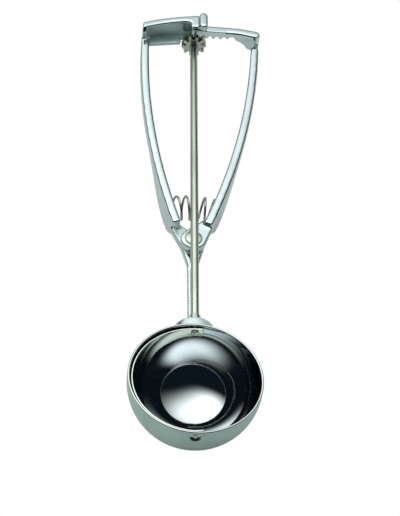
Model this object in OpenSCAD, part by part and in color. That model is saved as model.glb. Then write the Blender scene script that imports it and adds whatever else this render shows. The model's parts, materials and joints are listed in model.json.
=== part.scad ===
// Lever ice cream scoop (squeeze disher), all sizes in millimetres.
//
// Every piece is drawn in the scoop's own frame: the origin is the middle of the
// bowl's sphere, +Y runs up the drive rod to the handle and +Z points out of the
// bowl's mouth. rest() then lays the scoop on its back on the table.
//
// The left handle is one casting with the stem and the foot under the bowl. The
// right handle turns on the pivot rivet, its rack turns the pinion, and the rod
// sweeps the scraper through the bowl. The spring pushes the handles apart.

/* [Bowl] */
// Outside diameter of the bowl
bowl_d = 52; // [46:0.5:60]
// Thickness of the bowl's sheet
bowl_wall = 1; // [0.7:0.1:1.4]
// Height of the straight lip above the rod's axis
lip_h = 3.3; // [2:0.1:5]

/* [Scraper] */
// Gap between the scraper and the inside of the bowl
scraper_gap = 0.3; // [0.2:0.05:0.6]
// Thickness of the scraper strip
scraper_t = 0.8; // [0.6:0.1:1.2]
// Width of the scraper halfway round
scraper_w = 9.6; // [6:0.2:12]
// Width of the scraper's two end tabs
tab_w = 4.2; // [3.6:0.1:6]
// Length of each end tab past the rod's axis
tab_len = 3.2; // [2.4:0.1:5]
// Angle of the parked scraper below the bowl's mouth
park_angle = 7; // [5:0.5:12]

/* [Drive rod] */
// Diameter of the rod
rod_d = 3.4; // [2.8:0.1:4]
// Diameter of the turned journal at the top of the rod
journal_d = 2.6; // [2:0.1:2.8]
// Diameter of the riveted spigot that holds the scraper
spigot_d = 2.2; // [1.6:0.1:2.6]
// Radial clearance of every turning fit
run_clear = 0.05; // [0.02:0.01:0.1]

/* [Rack and pinion] */
// Gear module
gear_module = 1; // [0.9:0.05:1.1]
// Number of pinion teeth
pinion_teeth = 10; // [9:1:11]
// Width of the pinion
pinion_w = 4; // [3:0.1:4.4]
// Pressure angle of the teeth
pressure_angle = 25; // [22:0.5:27]
// Play between the flanks at the pitch line
backlash = 0.3; // [0.2:0.02:0.4]
// Number of teeth on the rack
rack_teeth = 6; // [5:1:6]
// Width of the rack bar
rack_w = 4.3; // [3.8:0.1:4.4]
// Thickness of the rack bar above its teeth
rack_t = 3; // [2.2:0.1:3]

/* [Handles] */
// Distance from the middle of the bowl to the pivot
pivot_y = 77.5; // [70:0.5:90]
// Distance from the pivot to the middle of the pinion
reach = 120.8; // [114:0.2:128]
// Radius that both handle arms are curved to
arm_r = 350; // [300:5:500]
// Left arm's distance from the rod at the pivot
left_foot_x = 4.9; // [4:0.1:6]
// Left arm's distance from the rod at the top
left_top_x = 22.8; // [20:0.1:25]
// Right arm's distance from the rod at the pivot
right_foot_x = 3.3; // [3:0.1:5]
// Right arm's distance from the rod at the top
right_top_x = 28.3; // [26:0.1:30]
// Width of an arm's front flange
flange_w = 4; // [3.4:0.1:5]
// Thickness of an arm's front flange
flange_t = 1.8; // [1.7:0.1:1.8]
// Radius of the flange's long edges
flange_edge_r = 0.8; // [0.4:0.1:0.9]
// Thickness of the castings' walls
wall_t = 1.8; // [1.4:0.1:2]
// Distance from the pivot to the lower end of both front flanges
flange_start = 7; // [6.6:0.1:8]
// Distance from the pinion's middle back to the upper end of the left front flange
left_flange_short = 0.3; // [0:0.1:3]
// Distance from the pinion's middle back to the upper end of the right front flange
right_flange_short = 3.6; // [2.8:0.1:6]
// Height of the arms' front face at the pivot
front_low = -1.8; // [-2.5:0.1:-1.2]
// Height of the arms' front face at the top
front_high = 5; // [4:0.1:6]
// Depth of the arms above their bellies
arm_depth = 5.5; // [4.5:0.1:6]
// Depth of the arms' bellies, which hold the spring
belly_depth = 12.8; // [12:0.1:14]
// Distance from the pivot to the deepest point of the bellies
belly_s = 16; // [13:0.5:17]
// Distance from the pivot to where the bellies have faded out
waist_s = 52; // [48:1:70]
// Outward swell of the bellies at their deepest point
belly_swell = 0.3; // [0:0.1:1.4]

/* [Left bar and guide] */
// Height of the left bar's front face
bar_front = 10.9; // [10.8:0.1:12]
// Width of the left bar's front flange
bar_w = 3.8; // [3:0.1:4.4]
// Thickness of the bar's flanges
bar_t = 1.7; // [1.4:0.1:1.7]
// Distance from the pinion's middle to the left bar's outer edge, at the hook
bar_over = 8.1; // [7.8:0.1:9]
// Distance from the pinion's middle to the left bar's outer edge, at its arm
bar_end_over = 0.3; // [0:0.1:0.6]
// Radius that the left bar's outer edge is bowed to
bar_bow_r = 100; // [70:5:140]
// Distance from the pinion's middle back to the back flange's inner edge, at the arm
ledge_low = 4.8; // [3:0.1:6]
// Distance from the pinion's middle back to the back flange's inner edge, at the pinion
ledge_high = 0.9; // [0:0.1:3]
// Radius of the inside corners of the pocket between the bar's flanges
pocket_r = 8; // [7:0.1:8.6]
// Room round the rack inside the left bar
rack_room = 0.25; // [0.2:0.05:0.3]
// Width of the guide hook over the rack
hook_w = 3.9; // [3:0.1:4]
// Distance from the rod's axis to the guide hook
hook_x = 1.6; // [1.4:0.1:2]
// Height of the guide hook's front face
hook_front = 12.8; // [12.6:0.1:14]
// Reach of the hook past the rack's inner face
hook_over = 1.3; // [0.5:0.1:2.4]
// Outside diameter of the boss round the rod's journal
boss_d = 6.4; // [5.4:0.1:6.8]

/* [Pivot] */
// Diameter of the rivet's shank
rivet_d = 4; // [3:0.1:5]
// Diameter of the rivet's domed head
rivet_head_d = 7.4; // [6.4:0.1:8.4]
// Height of the rivet's domed head
rivet_head_h = 1.1; // [0.8:0.1:1.3]
// Outside radius of the right handle's hub
hub_r = 5.5; // [5:0.1:6.2]
// Thickness of the right handle's hub
hub_t = 3.4; // [2.8:0.1:4]
// Height of the right hub's front face
hub_front = -3.5; // [-3.8:0.1:-3.4]
// Thickness of the washer between the two castings
washer_t = 0.4; // [0.3:0.1:0.8]
// Outside radius of the left casting's hub
left_hub_r = 5; // [4.6:0.1:6]
// Thickness of the left casting's hub
left_hub_t = 3.6; // [3:0.1:5]

/* [Spring] */
// Outside diameter of the coil
spring_d = 11; // [9:0.1:11]
// Diameter of the spring wire
wire_d = 1; // [0.8:0.05:1.2]
// Number of turns
spring_turns = 6.5; // [5:0.5:7]
// Distance from the pivot to the spring
spring_up = 20; // [19.8:0.1:21]
// Depth of the spring's axis behind the rod's axis
spring_depth = 8.1; // [8.1:0.1:8.6]
// Diameter of the cast stud inside each end of the spring
stud_d = 7.4; // [6:0.1:7.6]
// Height of the cast studs
stud_h = 1.8; // [1:0.1:2.2]

/* [Stem and foot] */
// Width of the stem below the hub
stem_w = 4.6; // [4.2:0.1:5.6]
// Width of the stem at the foot
stem_end_w = 4; // [3.6:0.1:5]
// Thickness of the stem
stem_t = 3; // [2.6:0.1:3.4]
// Length of the taper from the hub to the stem
stem_taper = 10.5; // [9:0.5:14]
// Radius of the round foot that holds the bowl
foot_r = 9.2; // [7.4:0.1:9.6]
// Thickness of the foot over the bowl
foot_t = 4.4; // [3.2:0.1:5.5]
// Depth of the foot's middle behind the rod's axis
foot_depth = 6.6; // [5.6:0.1:7.2]
// Outside diameter of the rod's bush in the foot
bush_d = 4.6; // [4.3:0.1:5]
// Length of bush that stands out of the foot
bush_out = 1.6; // [1:0.1:3]

/* [Hidden] */
$fn = 96;
fine = 720;
soft = 32;
eps = 0.01;
over = 1;

// bowl and scraper
bowl_r = bowl_d / 2;
bowl_in_r = bowl_r - bowl_wall;
scraper_r = bowl_in_r - scraper_gap;
scraper_in_r = scraper_r - scraper_t;
sweep_angle = 180 - 2 * park_angle;
pin_d = rod_d - 0.4;
pin_head_t = 0.7;
tab_seat_y = sqrt(pow(scraper_in_r, 2) - pow(pin_d / 2, 2));
recess_d = pin_d + 1.4;
recess_t = 0.45;

// rack and pinion
pitch = PI * gear_module;
pitch_r = gear_module * pinion_teeth / 2;
tip_r = pitch_r + 0.7 * gear_module;
root_r = pitch_r - 1.25 * gear_module;
tooth_w = pitch / 2 - backlash / 2;
rack_tip_z = pitch_r - 0.6 * gear_module;
rack_root_z = pitch_r + 0.9 * gear_module;
rack_front_z = rack_root_z + rack_t;
rack_in = reach - 0.85;
rack_out = rack_in + rack_w;
rack_end_r = 1.5;
first_tooth_x = -0.19 * pitch;
rack_end_x = first_tooth_x - 1.3 * gear_module;
plain_x = first_tooth_x + (rack_teeth - 0.6) * pitch;
bend_x = first_tooth_x + (rack_teeth + 0.8) * pitch;
pinion_y = pivot_y + reach - pinion_w / 2;
end_play = 0.3;
boss_y = pinion_y + pinion_w + end_play;
squeeze_angle = sweep_angle * pitch_r / reach;
rack_travel = reach * sin(squeeze_angle);
head_x = -5;

// castings
web_step = 0.2;
web_out = flange_w / 2 - web_step;
web_in = web_out - wall_t;
pocket_s = 11.5;
shell_h = 40;
washer_z = hub_front - hub_t - washer_t;
left_hub_z = washer_z - left_hub_t;
rivet_foot_z = left_hub_z - rivet_head_h;
rivet_foot_d = rivet_d + 2;
hub_room = 0.4;
belly_start = flange_start + 1;
front_slope = (front_high - front_low) / reach;
front_rise = atan(front_slope);
left_flange_end = reach - left_flange_short;
right_flange_end = reach - right_flange_short;
bar_back = front_high - arm_depth;
bar_rise = reach + bar_over;
bar_end_rise = reach + bar_end_over;
left_side_x = -left_top_x - web_out;
way_r = norm([rack_travel + head_x, rack_out]) + rack_room / 2;
block_rise = reach + 2.9;
post_r = rack_w / 2 + web_step / 2;
post_x = right_top_x - web_step;
post_rise = reach - 0.1;
block_x = -2.2;
block_drop = 0.7;
hook_end_x = hook_x + hook_w;
head_y = pivot_y + bar_rise;
head_back = -tip_r - 0.3;
journal_len = head_y - boss_y - 0.6;

// resting on a table: the bowl and the upper back edge both touch it
rest_tilt = asin(bowl_r / norm([head_y, head_back])) - atan(-head_back / head_y);
right_side_x = post_x + post_r;
top_y = head_y * cos(rest_tilt) + hook_front * sin(rest_tilt);
rest_x = (bowl_r - right_side_x) / 2;
rest_y = (bowl_r - top_y) / 2;

// ---------------------------------------------------------------- helpers

// The scoop as it lies on a table, on the bowl and the back of its handle.
module rest() {
  translate([rest_x, rest_y, bowl_r]) rotate([-rest_tilt, 0, 0]) children();
}

function polar(r, a) = [r * cos(a), r * sin(a)];

// Centre of the arc of radius r that runs from a to b and bulges to the right.
function arc_centre(a, b, r) =
  let (d = b - a, l = norm(d)) (a + b) / 2 + [-d.y, d.x] / l * sqrt(r * r - l * l / 4);

left_arc = arc_centre([left_foot_x, 0], [left_top_x, reach], arm_r);
right_arc = arc_centre([right_foot_x, 0], [right_top_x, reach], arm_r);

// Distance from the rod to an arm's centreline, s past the pivot.
function arm_x(arc, s) = arc.x + sqrt(arm_r * arm_r - pow(s - arc.y, 2));

// Slope of an arm's centreline against the rod, s past the pivot.
function arm_slope(arc, s) = asin((arc.y - s) / arm_r);

// The plan of two round bosses joined by their common tangents.
module link(c1, r1, c2, r2) {
  translate(c1) circle(r1);
  translate(c2) circle(r2);
  link_web(c1, r1 - eps, c2, r2 - eps);
}

module link_web(c1, r1, c2, r2) {
  d = c2 - c1;
  heading = atan2(d.y, d.x);
  spread = acos((r1 - r2) / norm(d));
  polygon([c1 + polar(r1, heading + spread), c2 + polar(r2, heading + spread),
           c2 + polar(r2, heading - spread), c1 + polar(r1, heading - spread)]);
}

// A rectangle of w by t with its corners rounded to r, centred across.
module soft_bar(w, t, r) {
  translate([-w / 2 + r, 0]) square([w - 2 * r, t]);
  translate([-w / 2, r]) square([w, t - 2 * r]);
  for (x = [-w / 2 + r, w / 2 - r]) for (y = [r, t - r]) translate([x, y]) circle(r, $fn = soft);
}

// A cylinder along +Y from y1 to y2.
module rod_y(d, y1, y2) {
  translate([0, y1, 0]) rotate([-90, 0, 0]) cylinder(d = d, h = y2 - y1);
}

// Draws its children from the pivot, at height z, tipped up by rise.
module at_pivot(z = 0, rise = 0) {
  translate([0, pivot_y, z]) rotate([rise, 0, 0]) children();
}

// ---------------------------------------------------------------- bowl

module bowl_section() {
  lip = lip_h - bowl_wall / 2;
  intersection() {
    difference() {
      circle(bowl_r);
      circle(bowl_in_r);
    }
    translate([0, -bowl_r]) square(bowl_r);
  }
  translate([bowl_in_r, 0]) square([bowl_wall, lip]);
  translate([bowl_r - bowl_wall / 2, lip]) circle(d = bowl_wall, $fn = soft);
}

// A hemisphere with a straight lip, holed for the rod and for the scraper's end pin.
module bowl() {
  color("silver") rest() difference() {
    rotate_extrude($fn = 180) bowl_section();
    rod_y(rod_d + 2 * run_clear, tab_seat_y, bowl_r + over);
    rod_y(pin_d + 2 * run_clear, -bowl_r - over, -tab_seat_y);
    rod_y(recess_d, -bowl_r - over, -bowl_r + recess_t);
  }
}

// ---------------------------------------------------------------- scraper

// The strip seen along the rod: its tabs reach past the axis, its middle is wide.
module strip_plan() {
  polygon([[tab_len, -tab_w / 2], [0, -tab_w / 2], [-bowl_r, -scraper_w / 2],
           [-bowl_r, scraper_w / 2], [0, tab_w / 2], [tab_len, tab_w / 2]]);
}

module scraper() {
  color("lightgray") rest() rotate([0, -park_angle, 0]) difference() {
    intersection() {
      sphere(scraper_r, $fn = 180);
      rotate([90, 0, 0]) linear_extrude(2 * bowl_r, center = true) strip_plan();
    }
    sphere(scraper_in_r, $fn = 180);
    rod_y(spigot_d, -bowl_r, bowl_r);
  }
}

// The pin at the scraper's far end, which turns in the bowl's wall.
module scraper_end_pin() {
  color("lightgray") rest() {
    rod_y(pin_d, -bowl_r + 0.1, -scraper_r);
    rod_y(spigot_d, -scraper_r - eps, -tab_seat_y + eps);
    rod_y(pin_d, -tab_seat_y, -tab_seat_y + pin_head_t);
  }
}

// ---------------------------------------------------------------- rod and pinion

// The rod is turned down at the top for its journal, and riveted to the scraper below.
module drive_rod() {
  color("gainsboro") rest() {
    rod_y(pin_d, tab_seat_y - pin_head_t, tab_seat_y);
    rod_y(spigot_d, tab_seat_y - eps, scraper_r + eps);
    rod_y(rod_d, scraper_r, boss_y - end_play / 2);
    rod_y(journal_d, boss_y - end_play / 2 - eps, boss_y + journal_len);
  }
}

// The bush that carries the rod where it enters the foot.
module rod_bush() {
  color("gainsboro") rest() difference() {
    rod_y(bush_d, bowl_r + end_play, bowl_r + foot_t + bush_out);
    rod_y(rod_d + 2 * run_clear, bowl_r - over, bowl_r + foot_t + bush_out + over);
  }
}

function involute(a) = tan(a) * 180 / PI - a;

// Half the angle that a tooth takes up at radius r, with an involute flank.
function half_tooth(r) =
  let (base = pitch_r * cos(pressure_angle), a = r > base ? acos(base / r) : 0)
  tooth_w / 2 / pitch_r * 180 / PI + involute(pressure_angle) - involute(a);

module pinion_plan() {
  steps = 5;
  flank = [for (i = [0 : steps]) root_r + (tip_r - root_r) * i / steps];
  polygon([for (k = [0 : pinion_teeth - 1]) let (at = 360 * k / pinion_teeth) each concat(
    [for (i = [0 : steps]) polar(flank[i], at - half_tooth(flank[i]))],
    [for (i = [steps : -1 : 0]) polar(flank[i], at + half_tooth(flank[i]))])]);
}

// The tooth under the rack stands halfway between the rack's first two teeth.
module pinion() {
  lead = (first_tooth_x + pitch / 2) / pitch_r * 180 / PI;
  color("gainsboro") rest() difference() {
    translate([0, pinion_y + pinion_w, 0]) rotate([90, 0, 0])
      linear_extrude(pinion_w) rotate([0, 0, 90 - lead]) pinion_plan();
    rod_y(rod_d, pinion_y - over, pinion_y + pinion_w + over);
  }
}

// ---------------------------------------------------------------- arms

// Sweeps a section along an arm's curve, from from_s to to_s past the pivot.
module along_arm(arc, from_s, to_s) {
  a1 = asin((from_s - arc.y) / arm_r);
  a2 = asin((to_s - arc.y) / arm_r);
  translate([arc.x, arc.y, 0]) rotate([0, 0, a1])
    rotate_extrude(angle = a2 - a1, $fn = fine) translate([arm_r, 0]) children();
}

function front_z(s) = front_low + s * front_slope;

// Depth of an arm, s past the pivot: it swells smoothly from the waist to the belly.
function depth_at(s) =
  let (t = min(1, max(0, (waist_s - s) / (waist_s - belly_s))))
  arm_depth + (belly_depth - arm_depth) * (1 - cos(180 * t)) / 2;

// The side view of an arm without its front flange. hub_back is the hub's back face.
module side_view(hub_back) {
  far = 2 * reach;
  step = 4;
  rotate([90, 0, 90]) linear_extrude(4 * shell_h, center = true)
    polygon(concat([[far, front_z(far) - flange_t / 2], [0, front_z(0) - flange_t / 2], [0, hub_back]],
      [for (s = [belly_s : step : waist_s]) [s, front_z(s) - depth_at(s)]],
      [[far, front_z(far) - arm_depth]]));
}

// The front flange's rounded upper end.
module flange_end(x) {
  translate([x, 0, -flange_t]) rotate_extrude() intersection() {
    soft_bar(flange_w - web_step / 2, flange_t, flange_edge_r);
    square(flange_w);
  }
}

// An angle-section arm, drawn on the right: a front flange over a deep outer web.
module arm(arc, flange_end_s, hub_back) {
  flange_top = flange_end_s - flange_w / 2;
  at_pivot() intersection() {
    translate([0, 0, -shell_h]) along_arm(arc, pocket_s - wall_t / 2, reach)
      translate([web_in, 0]) square([wall_t, 2 * shell_h]);
    side_view(hub_back);
  }
  at_pivot(front_low, front_rise) along_arm(arc, flange_start, flange_top)
    translate([0, -flange_t]) soft_bar(flange_w, flange_t, flange_edge_r);
  at_pivot(front_low, front_rise) translate([0, flange_top, 0])
    flange_end(arm_x(arc, flange_top));
  at_pivot() intersection() {
    translate([0, 0, -shell_h]) linear_extrude(2 * shell_h) belly_plan(arc);
    side_view(hub_back);
  }
}

// How far the belly stands out past the web, s past the pivot.
function swell_at(s) =
  (belly_swell + web_step) * sin(90 * min(1, max(0, (waist_s - s) / (waist_s - belly_s)))) - web_step;

// The belly's plan: it springs from the hub and swells outward past the flange.
module belly_plan(arc) {
  step = 3;
  knee_r = 6;
  inner = web_in + wall_t / 3;
  outer = [for (s = [belly_start + knee_r : step : waist_s]) [arm_x(arc, s) + web_out + swell_at(s), s]];
  knee = [for (a = [75 : -15 : 15]) [outer[0].x - knee_r + knee_r * sin(a), belly_start + knee_r - knee_r * cos(a)]];
  polygon(concat([[arm_x(arc, waist_s) + inner, waist_s]], [for (i = [len(outer) - 1 : -1 : 0]) outer[i]],
    knee, [[arm_x(arc, belly_start) - flange_w / 2, belly_start], [arm_x(arc, pocket_s) - flange_w / 2, pocket_s]],
    [[arm_x(arc, pocket_s) + inner, pocket_s]]));
}

// The round stud that centres one end of the spring on the arm's web.
module spring_stud(arc) {
  at_pivot(-spring_depth) translate([arm_x(arc, spring_up) + web_in, spring_up, 0])
    rotate([0, 0, arm_slope(arc, spring_up)]) rotate([0, -90, 0]) translate([0, 0, -wall_t / 2])
      cylinder(d = stud_d, h = stud_h + wall_t / 2);
}

// ---------------------------------------------------------------- fixed handle

// One casting: left arm, hub, stem, foot, left bar, guide hook and the rod's boss.
module fixed_handle() {
  color("lightsteelblue") rest() difference() {
    union() {
      mirror([1, 0, 0]) {
        arm(left_arc, left_flange_end, left_hub_z);
        spring_stud(left_arc);
      }
      left_hub();
      stem();
      foot();
      left_bar();
      head_block();
      rack_guide();
    }
    at_pivot(washer_z) cylinder(r = hub_r + hub_room, h = shell_h);
    at_pivot(rivet_foot_z) cylinder(d = rivet_d + 2 * run_clear, h = shell_h);
    rod_y(bush_d, 0, bowl_r + 2 * foot_t);
    rod_y(journal_d + 2 * run_clear, boss_y - over, boss_y + journal_len + end_play);
    rod_y(2 * tip_r + over, pinion_y - pinion_w, boss_y);
    rack_way();
  }
}

module left_hub() {
  at_pivot(left_hub_z) linear_extrude(left_hub_t) {
    link([0, 0], left_hub_r, [-arm_x(left_arc, pocket_s), pocket_s], flange_w / 2);
    link([0, 0], left_hub_r, [0, -stem_taper], stem_w / 2);
  }
}

module stem() {
  translate([0, 0, left_hub_z]) linear_extrude(stem_t)
    link([0, pivot_y - stem_taper], stem_w / 2, [0, bowl_r + foot_t / 2], stem_end_w / 2);
}

// The round foot, dished to the bowl that it is brazed to.
module foot() {
  difference() {
    intersection() {
      sphere(bowl_r + foot_t, $fn = 180);
      translate([0, 0, -foot_depth]) rod_y(2 * foot_r, bowl_r / 2, bowl_r + foot_t);
    }
    sphere(bowl_r, $fn = 180);
  }
}

// The left bar's bowed outer edge.
bar_bow = arc_centre([hook_x, bar_rise], [left_side_x, bar_end_rise], bar_bow_r);

// A band of width w inside the outer edge, from x1 to x2.
module bar_band(w, x1, x2) {
  intersection() {
    difference() {
      translate(bar_bow) circle(bar_bow_r, $fn = fine);
      translate(bar_bow) circle(bar_bow_r - w, $fn = fine);
    }
    translate([x1, bar_end_rise / 2]) square([x2 - x1, bar_rise]);
  }
}

// The bar's plan behind its front flange, down to the back flange's inner edge.
module bar_plan() {
  intersection() {
    translate(bar_bow) circle(bar_bow_r, $fn = fine);
    polygon([[left_side_x, reach - ledge_low], [head_x, reach - ledge_high],
             [head_x, 2 * reach], [left_side_x, 2 * reach]]);
  }
}

// The pocket between the bar's flanges, open towards the hand: its wall is an arc about
// the pivot that turns down into the arm with a round corner.
module bar_pocket() {
  wall_r = way_r + 0.1;
  corner_x = left_side_x + wall_t + pocket_r;
  corner_s = sqrt(pow(wall_r - pocket_r, 2) - corner_x * corner_x);
  low = corner_s - 2 * pocket_r;
  translate([corner_x, corner_s]) circle(pocket_r);
  intersection() {
    circle(wall_r, $fn = fine);
    translate([corner_x + 2 * web_step, low]) square([-corner_x, reach]);
  }
  translate([corner_x - pocket_r, low]) square([pocket_r + wall_t, corner_s - low]);
}

// The left bar is a casting with a front flange, an outer wall and a back flange.
module left_bar() {
  at_pivot(bar_front - bar_t) linear_extrude(bar_t) bar_band(bar_w, left_side_x, block_x + wall_t);
  difference() {
    at_pivot(bar_back) linear_extrude(bar_front - bar_t - bar_back + web_step) bar_plan();
    at_pivot(bar_back + bar_t) linear_extrude(shell_h) bar_pocket();
  }
}

// The block behind the rack, with a flat back that rests on the table.
module head_block() {
  difference() {
    at_pivot(-shell_h) linear_extrude(shell_h + bar_front) intersection() {
      translate(bar_bow) circle(bar_bow_r, $fn = fine);
      translate([head_x, block_rise]) square([hook_end_x - head_x, bar_rise - block_rise]);
    }
    translate([0, head_y, head_back]) rotate([rest_tilt, 0, 0]) translate([0, 0, -shell_h])
      cube([2 * shell_h, shell_h, 2 * shell_h], center = true);
  }
  at_pivot(bar_front - bar_t) translate([block_x, reach - block_drop])
    cube([hook_end_x - block_x - hook_w / 2, bar_rise - reach, bar_t]);
}

// The way that the rack sweeps through the left bar, wider where its straight part passes.
module rack_way() {
  low_x = rack_end_x - rack_travel - 2 * rack_room;
  at_pivot(rack_tip_z - rack_room) linear_extrude(rack_front_z - rack_tip_z + 2 * rack_room) {
    intersection() {
      circle(way_r, $fn = fine);
      translate([low_x, reach / 2]) square(reach);
    }
    intersection() {
      circle(norm([rack_travel + hook_end_x, rack_out]) + rack_room, $fn = fine);
      translate([head_x, reach / 2]) square(reach);
    }
  }
}

// The hook that keeps the rack from lifting off the pinion, and the journal's boss.
module rack_guide() {
  hook_mid = hook_x + hook_w / 2;
  under = rack_front_z + rack_room;
  at_pivot(under) linear_extrude(hook_front - under)
    link([hook_mid, rack_in - hook_over + hook_w / 2], hook_w / 2,
         [hook_mid, bar_rise - hook_w / 2], hook_w / 2);
  rod_y(boss_d, boss_y, head_y);
}

// ---------------------------------------------------------------- squeeze lever

// The right arm with its hub, the rack and the web in the corner below the rack.
module squeeze_lever() {
  color("lightsteelblue") rest() difference() {
    union() {
      arm(right_arc, right_flange_end, washer_z + washer_t);
      spring_stud(right_arc);
      right_hub();
      rack();
      corner_post();
      corner_web();
    }
    at_pivot(washer_z + washer_t - shell_h) cylinder(r = left_hub_r + hub_room, h = shell_h);
    at_pivot(rivet_foot_z) cylinder(d = rivet_d + 2 * run_clear, h = shell_h);
  }
}

module right_hub() {
  at_pivot(washer_z + washer_t) linear_extrude(hub_t)
    link([0, 0], hub_r, [arm_x(right_arc, pocket_s), pocket_s], flange_w / 2);
}

// The toothed bar's plan, with soft corners at the rod.
module rack_plan() {
  corner = [rack_end_x + rack_end_r, rack_out - rack_end_r];
  polygon(concat([[plain_x, rack_in], [plain_x, rack_out]],
    [for (a = [90 : 15 : 180]) corner + polar(rack_end_r, a)],
    [for (a = [180 : 15 : 270]) [corner.x, rack_in + rack_end_r] + polar(rack_end_r, a)]));
}

// The rack: a toothed bar, then a plain one that bends down to the corner post.
module rack() {
  per_mm = 180 / PI / reach;
  mid = (rack_in + rack_out) / 2;
  intersection() {
    at_pivot(rack_tip_z - over) linear_extrude(rack_front_z - rack_tip_z + over) rack_plan();
    union() {
      at_pivot(rack_root_z) linear_extrude(rack_t) translate([0, reach]) square(reach / 2, center = true);
      at_pivot() for (k = [0 : rack_teeth - 1]) rotate([0, 0, -(first_tooth_x + k * pitch) * per_mm])
        translate([0, rack_out + rack_w, 0]) rotate([90, 0, 0]) linear_extrude(3 * rack_w) rack_tooth();
    }
  }
  at_pivot(rack_root_z) linear_extrude(rack_t) {
    translate([plain_x - over, rack_in]) square([bend_x - plain_x + over, rack_w]);
    translate([bend_x, mid]) circle(rack_w / 2);
    link_web([bend_x, mid], rack_w / 2 - eps, [post_x, post_rise], post_r - eps);
  }
}

module rack_tooth() {
  slope = tan(pressure_angle);
  tip = tooth_w / 2 - slope * (pitch_r - rack_tip_z);
  root = tooth_w / 2 + slope * (rack_root_z - pitch_r);
  polygon([[-tip, rack_tip_z], [tip, rack_tip_z], [root, rack_root_z + eps], [-root, rack_root_z + eps]]);
}

// The post at the lever's upper corner, which lifts the rack above the arm.
module corner_post() {
  post_z = front_high - arm_depth;
  at_pivot(post_z) translate([post_x, post_rise]) cylinder(r = post_r, h = rack_front_z - post_z);
}

// The web that fills the corner under the rack's plain end, hollowed below to an arc.
module corner_web() {
  web_z = front_high - arm_depth;
  lead = 1.4;
  drop = 3.5;
  hollow_r = 8.3;
  start_x = rack_travel + tip_r - lead;
  hollow = [start_x - lead, web_z - drop];
  at_pivot() translate([0, rack_in + wall_t, 0]) rotate([90, 0, 0]) linear_extrude(wall_t) difference() {
    translate([start_x, web_z]) square([post_x - start_x, rack_root_z + web_step - web_z]);
    translate(hollow) circle(hollow_r);
  }
}

// ---------------------------------------------------------------- pivot

// The rivet's shank with its domed head in front and its flat head behind.
module pivot_rivet() {
  head_sphere_r = (pow(rivet_head_d / 2, 2) + pow(rivet_head_h, 2)) / 2 / rivet_head_h;
  color("gainsboro") rest() at_pivot() {
    translate([0, 0, left_hub_z]) cylinder(d = rivet_d, h = hub_front - left_hub_z);
    translate([0, 0, hub_front]) intersection() {
      cylinder(d = rivet_head_d, h = rivet_head_h);
      translate([0, 0, rivet_head_h - head_sphere_r]) sphere(head_sphere_r, $fn = 128);
    }
    translate([0, 0, rivet_foot_z]) cylinder(d = rivet_foot_d, h = rivet_head_h);
  }
}

module pivot_washer() {
  color("silver") rest() at_pivot(washer_z) difference() {
    cylinder(r = hub_r - hub_room, h = washer_t);
    translate([0, 0, -over]) cylinder(d = rivet_d + 2 * run_clear, h = washer_t + 2 * over);
  }
}

// ---------------------------------------------------------------- spring

// The coil stands in an arc, square to both webs, with its end turns closed.
module return_spring() {
  seat_gap = 0.2;
  closed = 0.75;
  x1 = -arm_x(left_arc, spring_up) - web_in;
  x2 = arm_x(right_arc, spring_up) + web_in;
  bend = (arm_slope(left_arc, spring_up) + arm_slope(right_arc, spring_up)) / 2;
  span = x2 - x1;
  arc_r = span / 2 / sin(bend);
  length = arc_r * 2 * bend * PI / 180 - wire_d - 2 * seat_gap;
  flat = wire_d * 1.05;
  pitch_len = (length - 2 * closed * flat) / (spring_turns - 2 * closed);
  function along(t) = seat_gap + wire_d / 2 + (t < closed ? t * flat
    : t > spring_turns - closed ? length - (spring_turns - t) * flat
    : closed * flat + (t - closed) * pitch_len);
  coil_r = (spring_d - wire_d) / 2;
  per_turn = 24;
  sides = 8;
  first_turn = 217;
  mid = [(x1 + x2) / 2, pivot_y + spring_up - arc_r * cos(bend), -spring_depth];
  rings = [for (i = [0 : spring_turns * per_turn]) let (
    t = i / per_turn,
    a = bend - along(t) / arc_r * 180 / PI,
    out = [sin(-a), cos(a), 0],
    ahead = [cos(a), sin(a), 0],
    w = first_turn + 360 * t,
    radial = cos(w) * out + sin(w) * [0, 0, 1])
    [for (k = [0 : sides - 1]) let (b = 360 * k / sides)
      mid + arc_r * out + (coil_r + wire_d / 2 * cos(b)) * radial + wire_d / 2 * sin(b) * ahead]];
  last = len(rings) - 1;
  color("gainsboro") rest() polyhedron(
    points = [for (ring = rings) each ring],
    faces = concat(
      [[for (k = [sides - 1 : -1 : 0]) k]],
      [for (i = [0 : last - 1]) for (k = [0 : sides - 1]) let (n = (k + 1) % sides)
        [i * sides + k, i * sides + n, (i + 1) * sides + n, (i + 1) * sides + k]],
      [[for (k = [0 : sides - 1]) last * sides + k]]));
}

bowl();
fixed_handle();
squeeze_lever();
pivot_rivet();
pivot_washer();
return_spring();
drive_rod();
pinion();
rod_bush();
scraper();
scraper_end_pin();
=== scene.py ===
"""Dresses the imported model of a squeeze-handle ice cream scoop and lights it in a studio.

Shapes are drawn in millimetres in the scoop's own frame: the origin is the middle of the
bowl's sphere, +Y runs up the rod and +Z points out of the bowl's mouth. ToolFrame takes
them to the row frame, in metres.
"""
import json
import logging
import math
from dataclasses import dataclass
from enum import Enum
from typing import Callable, ClassVar, Optional, Sequence, Tuple, Union

import bmesh
import bpy
import numpy as np
from mathutils import Euler, Matrix, Vector


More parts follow.
